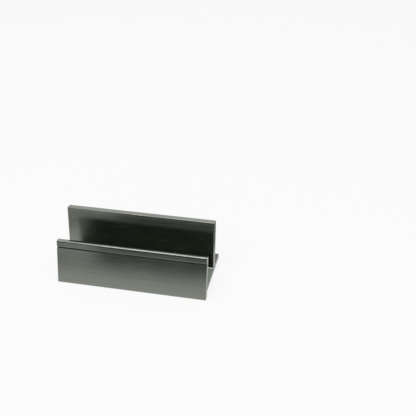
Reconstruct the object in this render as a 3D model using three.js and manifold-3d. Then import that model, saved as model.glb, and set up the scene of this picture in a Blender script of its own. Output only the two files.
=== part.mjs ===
// Desk holder for business cards, in millimetres.
// Two metal profiles are nested. The front angle is the front wall and a tongue, and the back tee is
// the back wall, the floor that the cards stand on and the foot behind. The floor laps over the
// tongue, and four countersunk screws from below clamp them, with their tips in the root of the back
// wall. The base falls a little towards the back, so the front wall reaches down past it. Four
// rubber pads in recesses carry the holder.
// X runs along the holder, -Y is the front, and +Z is up.
// The origin is on the desk, under the middle of the holder's footprint.

import * as THREE from 'three';
import { mergeVertices } from 'three/addons/utils/BufferGeometryUtils.js';
import Module from 'manifold-3d';

const wasm = await Module();
wasm.setup();

// Overall form. Heights are measured from the underside of the metal to the front edge of each top,
// and the slot's width is level, across its floor.
const LENGTH = 100;
const BASE_DEPTH = 42;
const FRONT_LEAN_DEGREES = 18.4;
const BACK_LEAN_DEGREES = 13.4;
const BASE_FALL_DEGREES = 5.5;
const FRONT_HEIGHT = 28.1;
const BACK_HEIGHT = 37.15;
const SLOT_WIDTH = 19.3;

// Thickness of each wall, of the base, and of the tongue that is the lower layer of the base
const FRONT_WALL = 3.4;
const BACK_WALL = 4.5;
const BASE = 3.4;
const TONGUE = 1.6;

// Edges and corners
const RIM_ROUND = 1.1;
const TOP_ROUND = 0.5;
const FOOT_ROUND = 0.7;
const ROOT_ROUND = 1;
const LAP_ROUND = 0.5;
const END_BEVEL = 0.3;

// Rim of the front wall: it stands proud of the front face and runs down to a slit, whose middle is
// this far below the top edge
const RIM_PROUD = 0.2;
const SLIT_DROP = 4.55;
const SLIT_WIDTH = 0.85;
const SLIT_DEPTH = 1;

// Countersunk screws. The head is sunk this far below the underside where that is nearest.
const THREAD_DIAMETER = 2;
const HEAD_DIAMETER = 3.8;
const HEAD_RIM = 0.15;
const HEAD_SINK = 0.1;
const SCREW_LENGTH = 5;
const SOCKET_FLATS = 1.3;
const SOCKET_DEPTH = 0.7;
const SCREW_INSET = 12;
const SCREW_COUNT = 4;

// Rubber pads. The seat is the depth of a recess at its middle.
const PAD_DIAMETER = 8;
const PAD_SEAT = 0.6;
const PAD_PROUD = 0.4;
const PAD_EDGE = 0.2;
const PAD_END_INSET = 8;
const PAD_FRONT_INSET = 10;
const PAD_REAR_INSET = 6.5;

// Room between pieces, how finely round forms are faceted, and when points count as one
const CLEARANCE = 0.3;
const ARC_STEPS = 3;
const ROUND_SIDES = 32;
const WELD = 1e-5;

// The cross-section is drawn in a plane of its own: y counts back from the front bottom edge
// and z up from the underside of the metal.
const slopeOf = (degrees) => Math.tan(THREE.MathUtils.degToRad(degrees));
const FRONT_SLOPE = slopeOf(FRONT_LEAN_DEGREES);
const BACK_SLOPE = slopeOf(BACK_LEAN_DEGREES);
const FALL = slopeOf(BASE_FALL_DEGREES);
const LEVEL_PER_FRONT = Math.hypot(1, FRONT_SLOPE);
const LEVEL_PER_BACK = Math.hypot(1, BACK_SLOPE);
const UPRIGHT_PER_BASE = Math.hypot(1, FALL);
const FRONT_WALL_LEVEL = FRONT_WALL * LEVEL_PER_FRONT;
const BACK_WALL_LEVEL = BACK_WALL * LEVEL_PER_BACK;

// The surfaces of the base, each as its height above the front bottom edge
const UNDERSIDE = BASE_DEPTH * FALL;
const SEAM = UNDERSIDE + TONGUE * UPRIGHT_PER_BASE;
const FLOOR = UNDERSIDE + BASE * UPRIGHT_PER_BASE;
const baseZ = (surface, y) => surface - y * FALL;

// Where a face that leans back meets a surface of the base; the face is given by its y at z = 0
function meet(faceY, slope, surface) {
  const z = (surface - FALL * faceY) / (1 + FALL * slope);
  return [faceY + slope * z, z];
}

const frontFaceY = (z) => z * FRONT_SLOPE;
const slotFrontY = (z) => frontFaceY(z) + FRONT_WALL_LEVEL;
const [SLOT_CORNER_Y] = meet(slotFrontY(0), FRONT_SLOPE, FLOOR);
const ROOT_Y = SLOT_CORNER_Y + SLOT_WIDTH;
const ROOT_Z = baseZ(FLOOR, ROOT_Y);
const slotBackY = (z) => ROOT_Y + (z - ROOT_Z) * BACK_SLOPE;
const rearFaceY = (z) => slotBackY(z) + BACK_WALL_LEVEL;

// The top of each wall is square to its faces, so it falls backwards.
const FRONT_TOP_REAR = FRONT_HEIGHT - (FRONT_WALL + RIM_PROUD) * FRONT_SLOPE / LEVEL_PER_FRONT;
const BACK_TOP_REAR = BACK_HEIGHT - BACK_WALL * BACK_SLOPE / LEVEL_PER_BACK;

// The floor's nose clears the front wall, and the tongue ends under the back wall's rear face.
const NOSE_Y = slotFrontY(0) + CLEARANCE * LEVEL_PER_FRONT;
const REAR_ROOT = meet(rearFaceY(0), BACK_SLOPE, FLOOR);
const [TONGUE_END] = REAR_ROOT;
const STEP_Y = TONGUE_END + CLEARANCE;

// An outline from corners given as [y, z, radius], in anticlockwise order. The first is sharp.
function outline(corners) {
  const shape = new THREE.Shape();
  corners.forEach(([y, z, radius], i) => {
    const corner = new THREE.Vector2(y, z);
    if (i === 0) {
      shape.moveTo(y, z);
      return;
    }
    if (radius === 0) {
      shape.lineTo(y, z);
      return;
    }
    const [beforeY, beforeZ] = corners[i - 1];
    const [afterY, afterZ] = corners[(i + 1) % corners.length];
    const back = new THREE.Vector2(beforeY, beforeZ).sub(corner).normalize();
    const ahead = new THREE.Vector2(afterY, afterZ).sub(corner).normalize();
    const halfAngle = Math.acos(back.dot(ahead)) / 2;
    const inward = back.clone().add(ahead).normalize();
    const centre = corner.clone().addScaledVector(inward, radius / Math.sin(halfAngle));
    const reach = radius / Math.tan(halfAngle);
    const start = corner.clone().addScaledVector(back, reach).sub(centre);
    const end = corner.clone().addScaledVector(ahead, reach).sub(centre);
    const turnsRight = back.cross(ahead) > 0;
    shape.absarc(centre.x, centre.y, radius, start.angle(), end.angle(), turnsRight);
  });
  return shape;
}

// A profile of the holder's full length, with every edge of both ends bevelled
function profile(corners) {
  const middle = LENGTH - 2 * END_BEVEL;
  const geometry = new THREE.ExtrudeGeometry(outline(corners), {
    depth: middle,
    curveSegments: ARC_STEPS,
    bevelThickness: END_BEVEL,
    bevelSize: END_BEVEL,
    bevelOffset: -END_BEVEL,
    bevelSegments: 1,
  });
  geometry.translate(0, 0, -middle / 2);
  const drawnY = new THREE.Vector3(0, 1, 0);
  const drawnZ = new THREE.Vector3(0, 0, 1);
  const along = new THREE.Vector3(1, 0, 0);
  return geometry.applyMatrix4(new THREE.Matrix4().makeBasis(drawnY, drawnZ, along));
}

// A round piece about a vertical axis, from [radius, height] points that start and end on it
function turned(points) {
  const line = points.map(([radius, height]) => new THREE.Vector2(radius, height));
  return new THREE.LatheGeometry(line, ROUND_SIDES).rotateX(Math.PI / 2);
}

// A geometry as a solid that can be cut
function toSolid(geometry) {
  const bare = geometry.clone();
  bare.deleteAttribute('normal');
  bare.deleteAttribute('uv');
  const merged = mergeVertices(bare, WELD);
  const index = merged.index.array;
  const kept = [];
  for (let i = 0; i < index.length; i += 3) {
    const [a, b, c] = index.slice(i, i + 3);
    if (a !== b && b !== c && c !== a) {
      kept.push(a, b, c);
    }
  }
  return new wasm.Manifold(new wasm.Mesh({
    numProp: 3,
    vertProperties: new Float32Array(merged.attributes.position.array),
    triVerts: new Uint32Array(kept),
  }));
}

function toGeometry(solid) {
  const mesh = solid.getMesh();
  const geometry = new THREE.BufferGeometry();
  geometry.setAttribute('position', new THREE.BufferAttribute(mesh.vertProperties, 3));
  geometry.setIndex(new THREE.BufferAttribute(mesh.triVerts, 1));
  geometry.computeVertexNormals();
  return geometry;
}

// One geometry with others cut out of it
function cut(geometry, tools) {
  let solid = toSolid(geometry);
  for (const tool of tools) {
    solid = solid.subtract(toSolid(tool));
  }
  return toGeometry(solid);
}

// A countersunk screw, or with extra room all round, the hole that it sits in
const SCREW_Y = ROOT_Y + BACK_WALL_LEVEL / 2;
const HEAD_FACE = baseZ(UNDERSIDE, SCREW_Y - HEAD_DIAMETER / 2 - CLEARANCE) + HEAD_SINK;
const SCREW_TIP = HEAD_FACE + SCREW_LENGTH;

function screwForm(room, bottom, top) {
  const thread = THREAD_DIAMETER / 2 + room;
  const head = HEAD_DIAMETER / 2 + room;
  const rim = HEAD_FACE + HEAD_RIM;
  return turned([
    [0, bottom],
    [head, bottom],
    [head, rim],
    [thread, rim + head - thread],
    [thread, top],
    [0, top],
  ]);
}

const SCREW_PITCH = (LENGTH - 2 * SCREW_INSET) / (SCREW_COUNT - 1);
const SCREW_PLACES = [];
for (let i = 0; i < SCREW_COUNT; i++) {
  SCREW_PLACES.push([SCREW_INSET - LENGTH / 2 + i * SCREW_PITCH, SCREW_Y]);
}

function screwHoles() {
  const hole = screwForm(CLEARANCE, -CLEARANCE, SCREW_TIP + CLEARANCE);
  return SCREW_PLACES.map(([x, y]) => hole.clone().translate(x, y, 0));
}

const PAD_X = LENGTH / 2 - PAD_END_INSET;
const REAR_PAD_Y = BASE_DEPTH - PAD_REAR_INSET;
const FRONT_PADS = [[-PAD_X, PAD_FRONT_INSET], [PAD_X, PAD_FRONT_INSET]];
const REAR_PADS = [[-PAD_X, REAR_PAD_Y], [PAD_X, REAR_PAD_Y]];
const PAD_PLACES = [...FRONT_PADS, ...REAR_PADS];
const padSeat = (y) => baseZ(UNDERSIDE, y) + PAD_SEAT;

// The pads' recesses are cut out of both profiles, so a pad may also bridge the tongue's end.
function padRecesses() {
  const radius = PAD_DIAMETER / 2 + CLEARANCE;
  return PAD_PLACES.map(([x, y]) => {
    const top = padSeat(y);
    const recess = turned([[0, -CLEARANCE], [radius, -CLEARANCE], [radius, top], [0, top]]);
    return recess.translate(x, y, 0);
  });
}

// The pieces
function frontAngle() {
  const rimFrontY = frontFaceY(FRONT_HEIGHT) - RIM_PROUD * LEVEL_PER_FRONT;
  const halfSlit = SLIT_WIDTH / LEVEL_PER_FRONT / 2;
  const slitTop = FRONT_HEIGHT - SLIT_DROP + halfSlit;
  const slitBottom = FRONT_HEIGHT - SLIT_DROP - halfSlit;
  const slitInY = SLIT_DEPTH / LEVEL_PER_FRONT;
  const slitInZ = slitInY * FRONT_SLOPE;
  return cut(profile([
    [0, 0, 0],
    [slotFrontY(0), 0, 0],
    [...meet(slotFrontY(0), FRONT_SLOPE, UNDERSIDE), LAP_ROUND],
    [TONGUE_END, baseZ(UNDERSIDE, TONGUE_END), 0],
    [TONGUE_END, baseZ(SEAM, TONGUE_END), 0],
    [...meet(slotFrontY(0), FRONT_SLOPE, SEAM), LAP_ROUND],
    [slotFrontY(FRONT_TOP_REAR), FRONT_TOP_REAR, TOP_ROUND],
    [rimFrontY, FRONT_HEIGHT, RIM_ROUND],
    [frontFaceY(slitTop), slitTop, 0],
    [frontFaceY(slitTop) + slitInY, slitTop - slitInZ, 0],
    [frontFaceY(slitBottom) + slitInY, slitBottom - slitInZ, 0],
    [frontFaceY(slitBottom), slitBottom, 0],
  ]), [...screwHoles(), ...padRecesses()]);
}

function backTee() {
  return cut(profile([
    [STEP_Y, baseZ(UNDERSIDE, STEP_Y), 0],
    [BASE_DEPTH, baseZ(UNDERSIDE, BASE_DEPTH), 0],
    [BASE_DEPTH, baseZ(FLOOR, BASE_DEPTH), FOOT_ROUND],
    [...REAR_ROOT, ROOT_ROUND],
    [rearFaceY(BACK_TOP_REAR), BACK_TOP_REAR, TOP_ROUND],
    [slotBackY(BACK_HEIGHT), BACK_HEIGHT, TOP_ROUND],
    [ROOT_Y, ROOT_Z, ROOT_ROUND],
    [...meet(NOSE_Y, FRONT_SLOPE, FLOOR), 0],
    [...meet(NOSE_Y, FRONT_SLOPE, SEAM), LAP_ROUND],
    [STEP_Y, baseZ(SEAM, STEP_Y), 0],
  ]), [...screwHoles(), ...padRecesses()]);
}

function clampScrew() {
  const across = SOCKET_FLATS / Math.sqrt(3);
  const socketHeight = CLEARANCE + SOCKET_DEPTH;
  const socket = new THREE.CylinderGeometry(across, across, socketHeight, 6);
  socket.rotateX(Math.PI / 2);
  socket.translate(0, 0, HEAD_FACE - CLEARANCE + socketHeight / 2);
  return cut(screwForm(0, HEAD_FACE, SCREW_TIP), [socket]);
}

function footPad(seat) {
  const radius = PAD_DIAMETER / 2;
  return turned([
    [0, -PAD_PROUD],
    [radius - PAD_EDGE, -PAD_PROUD],
    [radius, PAD_EDGE - PAD_PROUD],
    [radius, seat],
    [0, seat],
  ]);
}

const gunmetal = { color: 0x8d918d, roughness: 0.3, metalness: 1 };
const steel = { color: 0xb4b6b8, roughness: 0.3, metalness: 1 };
const rubber = { color: 0x1b1b1c, roughness: 0.85, metalness: 0 };

const metalwork = new THREE.Group();
metalwork.position.set(0, -BASE_DEPTH / 2, PAD_PROUD);

function add(name, geometry, finish, x = 0, y = 0) {
  const mesh = new THREE.Mesh(geometry, new THREE.MeshStandardMaterial(finish));
  mesh.name = name;
  mesh.position.set(x, y, 0);
  metalwork.add(mesh);
}

add('front_angle', frontAngle(), gunmetal);
add('back_tee', backTee(), gunmetal);
SCREW_PLACES.forEach(([x, y], i) => add(`clamp_screw_${i + 1}`, clampScrew(), steel, x, y));
PAD_PLACES.forEach(([x, y], i) => {
  add(`foot_pad_${i + 1}`, footPad(padSeat(y)), rubber, x, y);
});

const holder = new THREE.Group();
holder.add(metalwork);

export default holder;
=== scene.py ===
# Studio scene of an open-ended desk holder for business cards, in gunmetal-grey drawn metal.
# Every length is in metres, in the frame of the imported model: X runs along the holder, -Y is
# its front, +Z is up, and the desk is at z = 0.

import math

import bmesh
import bpy
from mathutils import Matrix, Vector


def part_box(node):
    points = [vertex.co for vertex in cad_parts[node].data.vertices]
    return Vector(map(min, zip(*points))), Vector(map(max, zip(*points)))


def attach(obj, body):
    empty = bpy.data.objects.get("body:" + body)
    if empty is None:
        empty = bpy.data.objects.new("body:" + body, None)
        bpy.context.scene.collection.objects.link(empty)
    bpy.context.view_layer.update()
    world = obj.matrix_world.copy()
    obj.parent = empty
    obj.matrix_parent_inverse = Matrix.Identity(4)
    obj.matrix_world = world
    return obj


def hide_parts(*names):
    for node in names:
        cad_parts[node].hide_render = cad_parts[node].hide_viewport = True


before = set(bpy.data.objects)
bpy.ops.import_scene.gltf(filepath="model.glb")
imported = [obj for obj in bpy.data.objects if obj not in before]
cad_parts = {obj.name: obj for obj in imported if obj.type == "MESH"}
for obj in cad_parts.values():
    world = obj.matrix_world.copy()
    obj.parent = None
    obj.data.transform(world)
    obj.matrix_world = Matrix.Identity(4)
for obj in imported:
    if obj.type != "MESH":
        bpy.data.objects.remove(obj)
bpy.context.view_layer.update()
BODY = "root"
MM = 0.001


# Sizes of the metalwork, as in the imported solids

FRONT_LEAN = math.tan(math.radians(18.4))
BACK_LEAN = math.tan(math.radians(13.4))
FALL = math.tan(math.radians(5.5))
LEVEL_PER_FRONT = math.hypot(1, FRONT_LEAN)
LEVEL_PER_BACK = math.hypot(1, BACK_LEAN)
HALF_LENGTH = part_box("front_angle")[1].x
PAD_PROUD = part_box("front_angle")[0].z
FRONT_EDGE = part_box("front_angle")[0].y
BASE_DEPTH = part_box("back_tee")[1].y - FRONT_EDGE
FRONT_HEIGHT = 28.1 * MM
BACK_HEIGHT = 37.15 * MM
SLOT_WIDTH = 19.3 * MM
FRONT_WALL = 3.4 * MM
BACK_WALL = 4.5 * MM
BASE = 3.4 * MM
TONGUE = 1.6 * MM
CLEARANCE = 0.3 * MM
RIM_PROUD = 0.2 * MM
SLIT_DROP = 4.55 * MM
SLIT_WIDTH = 0.85 * MM
SLIT_DEPTH = 1 * MM
RIM_ROUND = 1.1 * MM
TOP_ROUND = 0.5 * MM
FOOT_ROUND = 0.7 * MM
ROOT_ROUND = 1 * MM
LAP_ROUND = 0.5 * MM
SHARP_EDGE_ROUND = 0.12 * MM
SLIT_EDGE_ROUND = 0.03 * MM
END_BEVEL = 0.3 * MM
END_BEVEL_STEPS = 5
ARC_STEPS = 6
WEAR_WIDTH = 0.35 * MM
LEAST_ROUND = 0.02 * MM
SUPPORT_SHARE = 0.4
SMOOTH_ANGLE = math.radians(32)

# The section lies in a plane of its own: y counts back from the front bottom edge, z up from it.
# Each surface of the base is given by its height above that edge.

UNDERSIDE = BASE_DEPTH * FALL
SEAM = UNDERSIDE + TONGUE * math.hypot(1, FALL)
FLOOR = UNDERSIDE + BASE * math.hypot(1, FALL)


def base_z(surface, y):
    return surface - y * FALL


def meet(face_y, slope, surface):
    """Where a leaning face, given by its y at z = 0, meets a surface of the base."""
    z = (surface - FALL * face_y) / (1 + FALL * slope)
    return face_y + slope * z, z


def front_face(z):
    return z * FRONT_LEAN


def slot_front(z):
    return front_face(z) + FRONT_WALL * LEVEL_PER_FRONT


ROOT_Y = meet(slot_front(0), FRONT_LEAN, FLOOR)[0] + SLOT_WIDTH
ROOT_Z = base_z(FLOOR, ROOT_Y)


def slot_back(z):
    return ROOT_Y + (z - ROOT_Z) * BACK_LEAN


def rear_face(z):
    return slot_back(z) + BACK_WALL * LEVEL_PER_BACK


# Meshes of the two profiles: a rounded outline, swept along the holder, with rounded ends


def inset_outline(corners, inset):
    """Points of an anticlockwise (y, z, radius) outline moved inwards, each with its wear mark.

    The mark is 1 on rounded outer edges and 0 on the faces beside them.
    """
    count = len(corners)
    places = [Vector(corner[:2]) for corner in corners]
    aheads = [(places[(i + 1) % count] - places[i]).normalized() for i in range(count)]
    arcs = []
    for i, (_y, _z, radius) in enumerate(corners):
        back, ahead = aheads[i - 1], aheads[i]
        normal_back = Vector((-back.y, back.x))
        normal_ahead = Vector((-ahead.y, ahead.x))
        convex = back.cross(ahead) > 0
        mitre = (normal_back + normal_ahead) / (1 + normal_back.dot(normal_ahead))
        bent = max(radius - inset, LEAST_ROUND) if convex else radius
        turn = math.acos(max(-1, min(1, back.dot(ahead))))
        start = places[i] + mitre * inset - back * bent * math.tan(turn / 2)
        side = 1 if convex else -1
        centre = start + normal_back * bent * side
        arc = []
        for k in range(ARC_STEPS + 1):
            spoke = Matrix.Rotation(side * turn * k / ARC_STEPS, 2) @ (start - centre)
            arc.append((centre + spoke, float(convex and radius > SLIT_EDGE_ROUND)))
        arcs.append(arc)
    points = []
    for i, arc in enumerate(arcs):
        before, after = arcs[i - 1][-1][0], arcs[(i + 1) % count][0][0]
        room_back = (arc[0][0] - before).length * SUPPORT_SHARE
        room_ahead = (after - arc[-1][0]).length * SUPPORT_SHARE
        points.append((arc[0][0] - aheads[i - 1] * min(WEAR_WIDTH, room_back), 0.0))
        points.extend(arc)
        points.append((arc[-1][0] + aheads[i] * min(WEAR_WIDTH, room_ahead), 0.0))
    return points


def swept_profile(name, corners):
    """A closed mesh of the outline along the full length, with a rounded edge at both ends."""
    stations = []
    for k in range(END_BEVEL_STEPS + 1):
        angle = math.pi / 2 * k / END_BEVEL_STEPS
        out = HALF_LENGTH - END_BEVEL * (1 - math.sin(angle))
        stations.append((out, END_BEVEL * (1 - math.cos(angle)), 1.0))
    inner = [(HALF_LENGTH - END_BEVEL - WEAR_WIDTH, 0.0, 0.0)]
    right = inner + stations
    left = [(-x, inset, mark) for x, inset, mark in reversed(right)]

    mesh = bmesh.new()
    wear = mesh.verts.layers.float.new("wear")
    loops = []
    for x, inset, mark in left + right:
        loop = []
        for point, edge in inset_outline(corners, inset):
            place = (x, FRONT_EDGE + point.x, PAD_PROUD + point.y)
            vert = mesh.verts.new(place)
            vert[wear] = max(mark, edge)
            loop.append(vert)
        loops.append(loop)
    for near, far in zip(loops, loops[1:]):
        for i in range(len(near)):
            j = (i + 1) % len(near)
            mesh.faces.new((near[i], near[j], far[j], far[i]))
    mesh.faces.new(reversed(loops[0]))
    mesh.faces.new(loops[-1])
    return finished(mesh, name)


def finished(mesh, name):
    """Turns a bmesh into an object with outward normals and smooth shading."""
    bmesh.ops.recalc_face_normals(mesh, faces=mesh.faces)
    data = bpy.data.meshes.new(name)
    mesh.to_mesh(data)
    mesh.free()
    data.shade_smooth()
    data.set_sharp_from_angle(angle=SMOOTH_ANGLE)
    thing = bpy.data.objects.new(name, data)
    bpy.context.scene.collection.objects.link(thing)
    return thing


SLIT_TOP = FRONT_HEIGHT - SLIT_DROP + SLIT_WIDTH / LEVEL_PER_FRONT / 2
SLIT_BOTTOM = SLIT_TOP - SLIT_WIDTH / LEVEL_PER_FRONT
SLIT_IN = SLIT_DEPTH / LEVEL_PER_FRONT
SLIT_DOWN = SLIT_IN * FRONT_LEAN
FRONT_TOP_REAR = FRONT_HEIGHT - (FRONT_WALL + RIM_PROUD) * FRONT_LEAN / LEVEL_PER_FRONT
BACK_TOP_REAR = BACK_HEIGHT - BACK_WALL * BACK_LEAN / LEVEL_PER_BACK
NOSE_Y = slot_front(0) + CLEARANCE * LEVEL_PER_FRONT
REAR_ROOT = meet(rear_face(0), BACK_LEAN, FLOOR)
TONGUE_END = REAR_ROOT[0]
STEP_Y = TONGUE_END + CLEARANCE

front_corners = [
    (0, 0, SHARP_EDGE_ROUND),
    (slot_front(0), 0, SHARP_EDGE_ROUND),
    (*meet(slot_front(0), FRONT_LEAN, UNDERSIDE), LAP_ROUND),
    (TONGUE_END, base_z(UNDERSIDE, TONGUE_END), SHARP_EDGE_ROUND),
    (TONGUE_END, base_z(SEAM, TONGUE_END), SHARP_EDGE_ROUND),
    (*meet(slot_front(0), FRONT_LEAN, SEAM), LAP_ROUND),
    (slot_front(FRONT_TOP_REAR), FRONT_TOP_REAR, TOP_ROUND),
    (front_face(FRONT_HEIGHT) - RIM_PROUD * LEVEL_PER_FRONT, FRONT_HEIGHT, RIM_ROUND),
    (front_face(SLIT_TOP), SLIT_TOP, SLIT_EDGE_ROUND),
    (front_face(SLIT_TOP) + SLIT_IN, SLIT_TOP - SLIT_DOWN, SLIT_EDGE_ROUND),
    (front_face(SLIT_BOTTOM) + SLIT_IN, SLIT_BOTTOM - SLIT_DOWN, SLIT_EDGE_ROUND),
    (front_face(SLIT_BOTTOM), SLIT_BOTTOM, SLIT_EDGE_ROUND),
]
back_corners = [
    (STEP_Y, base_z(UNDERSIDE, STEP_Y), SHARP_EDGE_ROUND),
    (BASE_DEPTH, base_z(UNDERSIDE, BASE_DEPTH), SHARP_EDGE_ROUND),
    (BASE_DEPTH, base_z(FLOOR, BASE_DEPTH), FOOT_ROUND),
    (*REAR_ROOT, ROOT_ROUND),
    (rear_face(BACK_TOP_REAR), BACK_TOP_REAR, TOP_ROUND),
    (slot_back(BACK_HEIGHT), BACK_HEIGHT, TOP_ROUND),
    (ROOT_Y, ROOT_Z, ROOT_ROUND),
    (*meet(NOSE_Y, FRONT_LEAN, FLOOR), SHARP_EDGE_ROUND),
    (*meet(NOSE_Y, FRONT_LEAN, SEAM), LAP_ROUND),
    (STEP_Y, base_z(SEAM, STEP_Y), SHARP_EDGE_ROUND),
]


# Round pieces: screws, pads and the room that they sit in

ROUND_SIDES = 72


def rings_mesh(rings, x, y):
    """A closed mesh from (radius function or value, height) rings about a vertical axis."""
    mesh = bmesh.new()
    loops = []
    for radius, z in rings:
        loop = []
        for k in range(ROUND_SIDES):
            angle = 2 * math.pi * k / ROUND_SIDES
            r = radius(angle) if callable(radius) else radius
            loop.append(mesh.verts.new((x + r * math.cos(angle), y + r * math.sin(angle), z)))
        loops.append(loop)
    for near, far in zip(loops, loops[1:]):
        for i in range(ROUND_SIDES):
            j = (i + 1) % ROUND_SIDES
            mesh.faces.new((near[i], near[j], far[j], far[i]))
    mesh.faces.new(reversed(loops[0]))
    mesh.faces.new(loops[-1])
    return mesh


def middle(node):
    low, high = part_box(node)
    return (low.x + high.x) / 2, (low.y + high.y) / 2, low.z, high.z


def hexagon(across_flats):
    def radius(angle):
        return across_flats / 2 / math.cos((angle + math.pi / 6) % (math.pi / 3) - math.pi / 6)
    return radius


HEAD_RADIUS = 1.9 * MM
THREAD_RADIUS = 1 * MM
HEAD_RIM = 0.15 * MM
SOCKET_FLATS = 1.3 * MM
SOCKET_DEPTH = 0.7 * MM
SOCKET_LEAD = 0.08 * MM
DRILL_SHARE = 0.3
DRILL_POINT = 0.15 * MM
TIP_CHAMFER = 0.3 * MM
THREAD_PITCH = 0.4 * MM
THREAD_DEPTH = 0.1 * MM

# The head's rounded edge, in from its radius and up from its face
HEAD_EDGE = [(0.25 * MM, 0), (0.07 * MM, 0.03 * MM), (0, 0.1 * MM)]

# One turn of the thread, as shares of the pitch and of the thread's depth
THREAD_TURN = [(0, 0), (0.4, 1), (0.6, 1), (0.95, 0)]


def clamp_screw(node):
    x, y, low, high = middle(node)
    cone_end = low + HEAD_RIM + HEAD_RADIUS - THREAD_RADIUS
    rings = [
        (hexagon(SOCKET_FLATS * DRILL_SHARE), low + SOCKET_DEPTH + DRILL_POINT),
        (hexagon(SOCKET_FLATS), low + SOCKET_DEPTH),
        (hexagon(SOCKET_FLATS), low + SOCKET_LEAD),
        (hexagon(SOCKET_FLATS + 2 * SOCKET_LEAD), low),
    ]
    rings += [(HEAD_RADIUS - inward, low + rise) for inward, rise in HEAD_EDGE]
    rings += [(HEAD_RADIUS, low + HEAD_RIM), (THREAD_RADIUS, cone_end)]
    z = cone_end + THREAD_PITCH / 4
    while z + THREAD_PITCH < high - TIP_CHAMFER:
        for share, depth in THREAD_TURN:
            rings.append((THREAD_RADIUS - THREAD_DEPTH * depth, z + THREAD_PITCH * share))
        z += THREAD_PITCH
    rings += [(THREAD_RADIUS, high - TIP_CHAMFER), (THREAD_RADIUS - TIP_CHAMFER, high)]
    return finished(rings_mesh(rings, x, y), node + "_hex")


PAD_RIBS = 4
RIB_START = 0.4 * MM
RIB_MARGIN = 0.8 * MM
GROOVE_DEPTH = 0.12 * MM
PAD_EDGE_ROUND = 0.22 * MM
PAD_EDGE_STEPS = 4
PAD_TOP_BEVEL = 0.05 * MM

# One rib and the groove beside it, as shares of their pitch and of the groove's depth
RIB_TURN = [(0, 0), (0.62, 0), (0.7, 1), (0.92, 1)]


def foot_pad(node):
    x, y, low, high = middle(node)
    radius = (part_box(node)[1].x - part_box(node)[0].x) / 2
    rings = []
    pitch = (radius - RIB_MARGIN) / PAD_RIBS
    for k in range(PAD_RIBS):
        for share, depth in RIB_TURN:
            rings.append((RIB_START + pitch * k + pitch * share, low + GROOVE_DEPTH * depth))
    for k in range(PAD_EDGE_STEPS + 1):
        angle = math.pi / 2 * k / PAD_EDGE_STEPS
        inward = PAD_EDGE_ROUND * (1 - math.sin(angle))
        rings.append((radius - inward, low + PAD_EDGE_ROUND * (1 - math.cos(angle))))
    rings += [(radius, high - PAD_TOP_BEVEL), (radius - PAD_TOP_BEVEL, high)]
    return finished(rings_mesh(rings, x, y), node + "_disc")


def cut_room(thing, cutters):
    """Cuts the room for screws and pads out of a piece, for good."""
    for cutter in cutters:
        change = thing.modifiers.new("room", "BOOLEAN")
        change.operation = "DIFFERENCE"
        change.solver = "EXACT"
        change.object = cutter
    deps = bpy.context.evaluated_depsgraph_get()
    whole = bpy.data.meshes.new_from_object(thing.evaluated_get(deps))
    thing.modifiers.clear()
    old = thing.data
    whole.name = old.name
    thing.data = whole
    bpy.data.meshes.remove(old)
    whole.set_sharp_from_angle(angle=SMOOTH_ANGLE)
    for cutter in cutters:
        bpy.data.objects.remove(cutter)


def screw_room(node):
    x, y, low, high = middle(node)
    rim = low + HEAD_RIM
    head = HEAD_RADIUS + CLEARANCE
    thread = THREAD_RADIUS + CLEARANCE
    rings = [
        (head, PAD_PROUD - CLEARANCE),
        (head, rim),
        (thread, rim + head - thread),
        (thread, high + CLEARANCE),
    ]
    return finished(rings_mesh(rings, x, y), "room_" + node)


def pad_room(node):
    x, y, _low, high = middle(node)
    radius = (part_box(node)[1].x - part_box(node)[0].x) / 2 + CLEARANCE
    rings = [(radius, PAD_PROUD - CLEARANCE), (radius, high)]
    return finished(rings_mesh(rings, x, y), "room_" + node)


SCREWS = [f"clamp_screw_{i}" for i in range(1, 5)]
PADS = [f"foot_pad_{i}" for i in range(1, 5)]

front = swept_profile("front_angle_metal", front_corners)
cut_room(front, [screw_room(node) for node in SCREWS] + [pad_room(node) for node in PADS[:2]])
back = swept_profile("back_tee_metal", back_corners)
cut_room(back, [screw_room(node) for node in SCREWS] + [pad_room(node) for node in PADS[2:]])


# Materials

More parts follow.
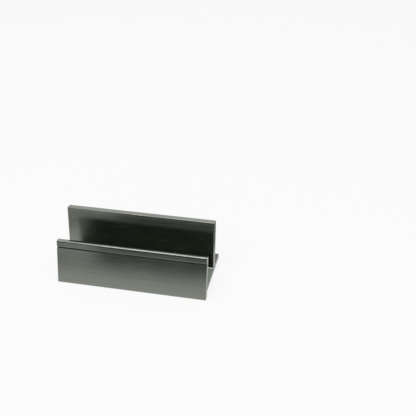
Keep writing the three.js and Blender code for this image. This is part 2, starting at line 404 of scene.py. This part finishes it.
class Nodes:
    """A small helper that adds nodes to a material and links them."""

    def __init__(self, name):
        self.material = bpy.data.materials.new(name)
        self.material.use_nodes = True
        self.tree = self.material.node_tree
        self.tree.nodes.clear()
        self.output = self.tree.nodes.new("ShaderNodeOutputMaterial")

    def add(self, kind, **values):
        node = self.tree.nodes.new(kind)
        for key, value in values.items():
            setattr(node, key, value)
        return node

    def link(self, source, target):
        self.tree.links.new(source, target)

    def feed(self, socket, value):
        if isinstance(value, bpy.types.NodeSocket):
            self.link(value, socket)
        else:
            socket.default_value = value

    def math(self, operation, first, second=0.0, third=0.0):
        node = self.add("ShaderNodeMath", operation=operation)
        for socket, value in zip(node.inputs, (first, second, third)):
            self.feed(socket, value)
        return node.outputs[0]

    def ramp(self, value, from_low, from_high, to_low, to_high, smooth=True):
        node = self.add("ShaderNodeMapRange")
        node.interpolation_type = "SMOOTHSTEP" if smooth else "LINEAR"
        for socket, item in zip(node.inputs, (value, from_low, from_high, to_low, to_high)):
            self.feed(socket, item)
        return node.outputs[0]

    def mix(self, share, first, second):
        node = self.add("ShaderNodeMix", data_type="RGBA")
        self.feed(node.inputs[0], share)
        self.feed(node.inputs[6], first)
        self.feed(node.inputs[7], second)
        return node.outputs[2]

    def place(self, stretch):
        coordinates = self.add("ShaderNodeTexCoord")
        mapping = self.add("ShaderNodeMapping")
        mapping.inputs["Scale"].default_value = stretch
        self.link(coordinates.outputs["Object"], mapping.inputs["Vector"])
        return mapping.outputs[0]

    def noise(self, stretch, detail=2.0, roughness=0.5, distortion=0.0):
        node = self.add("ShaderNodeTexNoise")
        self.link(self.place(stretch), node.inputs["Vector"])
        node.inputs["Scale"].default_value = 1.0
        node.inputs["Detail"].default_value = detail
        node.inputs["Roughness"].default_value = roughness
        node.inputs["Distortion"].default_value = distortion
        return node.outputs["Fac"]

    def bump(self, height, distance):
        node = self.add("ShaderNodeBump")
        node.inputs["Distance"].default_value = distance
        self.link(height, node.inputs["Height"])
        return node.outputs[0]

    def surface(self, **values):
        shader = self.add("ShaderNodeBsdfPrincipled")
        for key, value in values.items():
            self.feed(shader.inputs[key.replace("_", " ")], value)
        self.link(shader.outputs[0], self.output.inputs["Surface"])
        return self.material


def gunmetal():
    """Drawing marks along the holder, a sawn grain and a slightly darker, warmer grey on the end faces, a
    cloudy patina and lightly rubbed edges.
    """
    m = Nodes("gunmetal_drawn")
    normal = m.add("ShaderNodeSeparateXYZ")
    geometry = m.add("ShaderNodeNewGeometry")
    turned = m.add("ShaderNodeVectorTransform", vector_type="NORMAL", convert_from="WORLD",
                   convert_to="OBJECT")
    m.link(geometry.outputs["Normal"], turned.inputs[0])
    m.link(turned.outputs[0], normal.inputs[0])
    end = m.ramp(m.math("ABSOLUTE", normal.outputs[0]), 0.6, 0.9, 0.0, 1.0)
    along = m.noise((45, 8000, 8000), detail=3)
    sawn = m.noise((10, 900, 9000), detail=3)
    grain = m.math("MULTIPLY_ADD", end, m.math("SUBTRACT", sawn, along), along)
    streaks = m.noise((7, 700, 700), detail=4, roughness=0.6)
    clouds = m.noise((18, 45, 45), detail=4, roughness=0.55, distortion=0.4)
    wear = m.add("ShaderNodeAttribute", attribute_name="wear").outputs["Fac"]
    patchy = m.ramp(m.noise((160, 500, 500), detail=3), 0.42, 0.66, 0.0, 1.0)
    rubbed = m.math("MULTIPLY", m.ramp(wear, 0.35, 1.0, 0.0, 1.0), patchy)
    tone = m.math("MULTIPLY_ADD", m.math("SUBTRACT", streaks, 0.5), 0.9, 0.5)
    tone = m.math("MULTIPLY_ADD", m.math("SUBTRACT", clouds, 0.5), 0.8, tone)
    body = m.mix(tone, (0.191, 0.206, 0.18, 1), (0.285, 0.306, 0.267, 1))
    # The end faces take a slightly darker, warmer grey than the sides.
    body = m.mix(m.math("MULTIPLY", end, 0.7), body, (0.232, 0.222, 0.217, 1))
    colour = m.mix(m.math("MULTIPLY", rubbed, 0.3), body, (0.42, 0.43, 0.4, 1))
    rough = m.math("MULTIPLY_ADD", m.math("SUBTRACT", grain, 0.5), 0.16, 0.24)
    rough = m.math("MULTIPLY_ADD", m.math("SUBTRACT", clouds, 0.5), 0.12, rough)
    rough = m.math("MULTIPLY_ADD", end, 0.08, rough)
    rough = m.math("MULTIPLY_ADD", rubbed, -0.05, rough)
    height = m.math("MULTIPLY_ADD", streaks, 0.6, grain)
    return m.surface(Base_Color=colour, Metallic=1.0, Roughness=rough, Normal=m.bump(height, 0.0000016))


def screw_steel():
    m = Nodes("screw_steel_zinc")
    grain = m.noise((2600, 2600, 2600), detail=3)
    blotch = m.noise((700, 700, 700), detail=2)
    colour = m.mix(blotch, (0.42, 0.42, 0.43, 1), (0.6, 0.6, 0.61, 1))
    rough = m.math("MULTIPLY_ADD", m.math("SUBTRACT", grain, 0.5), 0.3, 0.32)
    return m.surface(Base_Color=colour, Metallic=1.0, Roughness=rough, Normal=m.bump(grain, 0.000003))


def pad_rubber():
    m = Nodes("pad_rubber_matt")
    grain = m.noise((3200, 3200, 3200), detail=4)
    dust = m.noise((500, 500, 500), detail=3)
    colour = m.mix(m.ramp(dust, 0.4, 0.75, 0.0, 1.0), (0.016, 0.016, 0.017, 1), (0.05, 0.05, 0.05, 1))
    rough = m.math("MULTIPLY_ADD", m.math("SUBTRACT", grain, 0.5), 0.3, 0.78)
    return m.surface(Base_Color=colour, Roughness=rough, Normal=m.bump(grain, 0.00001))


def dress(thing, material, slot, *nodes):
    thing.data.materials.clear()
    thing.data.materials.append(material)
    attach(thing, BODY)
    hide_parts(*nodes)


metal = gunmetal()
steel = screw_steel()
rubber = pad_rubber()
dress(front, metal, "gunmetal", "front_angle")
dress(back, metal, "gunmetal", "back_tee")
for node in SCREWS:
    dress(clamp_screw(node), steel, "screw_steel", node)
for node in PADS:
    dress(foot_pad(node), rubber, "pad_rubber", node)


# The desk, cards that only reflections see, a soft lamp, and a white room

def card(name, corners, material):
    mesh = bpy.data.meshes.new(name)
    mesh.from_pydata(corners, [], [range(len(corners))])
    thing = bpy.data.objects.new(name, mesh)
    mesh.materials.append(material)
    bpy.context.scene.collection.objects.link(thing)
    return thing


def seen_directly(tree):
    """One where a camera, glossy or transmission ray meets the surface, else nought."""
    path = tree.nodes.new("ShaderNodeLightPath")
    total = None
    for output in ("Is Camera Ray", "Is Glossy Ray", "Is Transmission Ray"):
        if total is None:
            total = path.outputs[output]
            continue
        node = tree.nodes.new("ShaderNodeMath")
        node.operation = "MAXIMUM"
        tree.links.new(total, node.inputs[0])
        tree.links.new(path.outputs[output], node.inputs[1])
        total = node.outputs[0]
    return total


DESK_REACH = 2.6
DESK_GLOW = 0.85
ROOM_LIGHT = 0.55
ROOM_SEEN = 1.0


def desk_white():
    """White paper that glows by itself where it is seen, so that it stays plain."""
    m = Nodes("desk_white")
    paper = m.add("ShaderNodeBsdfDiffuse")
    paper.inputs["Color"].default_value = (0.88, 0.88, 0.87, 1)
    glow = m.add("ShaderNodeEmission")
    glow.inputs["Strength"].default_value = 1.0
    both = m.add("ShaderNodeMixShader")
    share = m.math("MULTIPLY", seen_directly(m.tree), DESK_GLOW)
    m.link(share, both.inputs[0])
    m.link(paper.outputs[0], both.inputs[1])
    m.link(glow.outputs[0], both.inputs[2])
    m.link(both.outputs[0], m.output.inputs["Surface"])
    return m.material


def dim_cloth(name, low_height, low_glow, high_height, high_glow):
    """A cloth whose tone runs from one height on the card to another."""
    m = Nodes(name)
    place = m.add("ShaderNodeSeparateXYZ")
    m.link(m.place((1, 1, 1)), place.inputs[0])
    glow = m.add("ShaderNodeEmission")
    glow.inputs["Color"].default_value = (1, 1, 1, 1)
    m.feed(glow.inputs["Strength"], m.ramp(place.outputs[2], low_height, high_height, low_glow, high_glow))
    m.link(glow.outputs[0], m.output.inputs["Surface"])
    return m.material


def flag(name, x_low, x_high, y, height, cloth, y_high=None):
    """A card that only reflections see, upright unless a y is given for its upper edge."""
    y_high = y if y_high is None else y_high
    corners = [(x_low, y, 0), (x_high, y, 0), (x_high, y_high, height), (x_low, y_high, height)]
    thing = card(name, corners, cloth)
    thing.visible_camera = False
    thing.visible_diffuse = False
    thing.visible_shadow = False


corners = [(-1, -1), (1, -1), (1, 1), (-1, 1)]
card("desk", [(x * DESK_REACH, y * DESK_REACH, 0) for x, y in corners], desk_white())

# Before the front wall, so that it darkens towards its top
flag("flag_front", x_low=-0.064, x_high=0.5, y=-0.13, height=0.09,
     cloth=dim_cloth("cloth_front", 0.018, 0.04, 0.032, 0.13))

# Low down before the holder and at its left, for the back wall, which looks over the front one
flag("flag_low", x_low=-0.17, x_high=0.5, y=-0.114, height=0.005,
     cloth=dim_cloth("cloth_low", 0.0, 0.0, 0.01, 0.0))
flag("flag_left", x_low=-0.3, x_high=-0.081, y=-0.16, height=0.001,
     cloth=dim_cloth("cloth_left", 0.0, 0.3, 0.01, 0.3), y_high=-0.05)

# Across the room, for the slit
flag("flag_room", x_low=-1.5, x_high=1.5, y=-0.8, height=1.1,
     cloth=dim_cloth("cloth_room", 0.0, 0.06, 1.0, 0.06))

# Behind the right end, for the foot and for the back wall's end face
flag("flag_foot", x_low=0.03, x_high=0.0505, y=0.027, height=0.03,
     cloth=dim_cloth("cloth_foot", 0.0, 0.6, 0.03, 0.6))
flag("flag_side", x_low=0.0505, x_high=0.13, y=0.027, height=0.03,
     cloth=dim_cloth("cloth_side", 0.002, 0.6, 0.008, 0.2))

world = bpy.data.worlds.new("white_room")
bpy.context.scene.world = world
world.use_nodes = True
tree = world.node_tree
background = tree.nodes["Background"]
background.inputs["Color"].default_value = (1, 1, 1, 1)
mix = tree.nodes.new("ShaderNodeMapRange")
tree.links.new(seen_directly(tree), mix.inputs[0])
mix.inputs[3].default_value = ROOM_LIGHT
mix.inputs[4].default_value = ROOM_SEEN
tree.links.new(mix.outputs[0], background.inputs["Strength"])


def softbox(name, place, aim, width, height, power):
    light = bpy.data.lights.new(name, "AREA")
    light.shape = "RECTANGLE"
    light.size, light.size_y = width, height
    light.energy = power
    thing = bpy.data.objects.new(name, light)
    thing.location = place
    thing.rotation_euler = (Vector(aim) - Vector(place)).to_track_quat("-Z", "Y").to_euler()
    bpy.context.scene.collection.objects.link(thing)
    return thing


softbox("softbox_over", (0.0, -0.35, 0.9), (0, 0, 0), 0.7, 0.5, 3.8)


# Camera, placed where lines of the photograph meet

EYE = Vector((132.2, -344.05, 333.87)) * MM
FORWARD = Vector((-0.1857, 0.7675, -0.6135)).normalized()
ROLL = math.radians(-2.408)
LENS = 63.63
SENSOR = 36

right = FORWARD.cross(Vector((0, 0, 1))).normalized()
up = right.cross(FORWARD)
rolled_right = right * math.cos(ROLL) + up * math.sin(ROLL)
rolled_up = up * math.cos(ROLL) - right * math.sin(ROLL)
camera = bpy.data.objects.new("camera", bpy.data.cameras.new("camera"))
camera.data.lens = LENS
camera.data.sensor_width = SENSOR
camera.data.clip_start = 0.01
camera.data.clip_end = 20
turn = Matrix((rolled_right, rolled_up, -FORWARD)).transposed()
camera.matrix_world = Matrix.Translation(EYE) @ turn.to_4x4()
bpy.context.scene.collection.objects.link(camera)
bpy.context.scene.camera = camera

bpy.context.scene.view_settings.view_transform = "Standard"
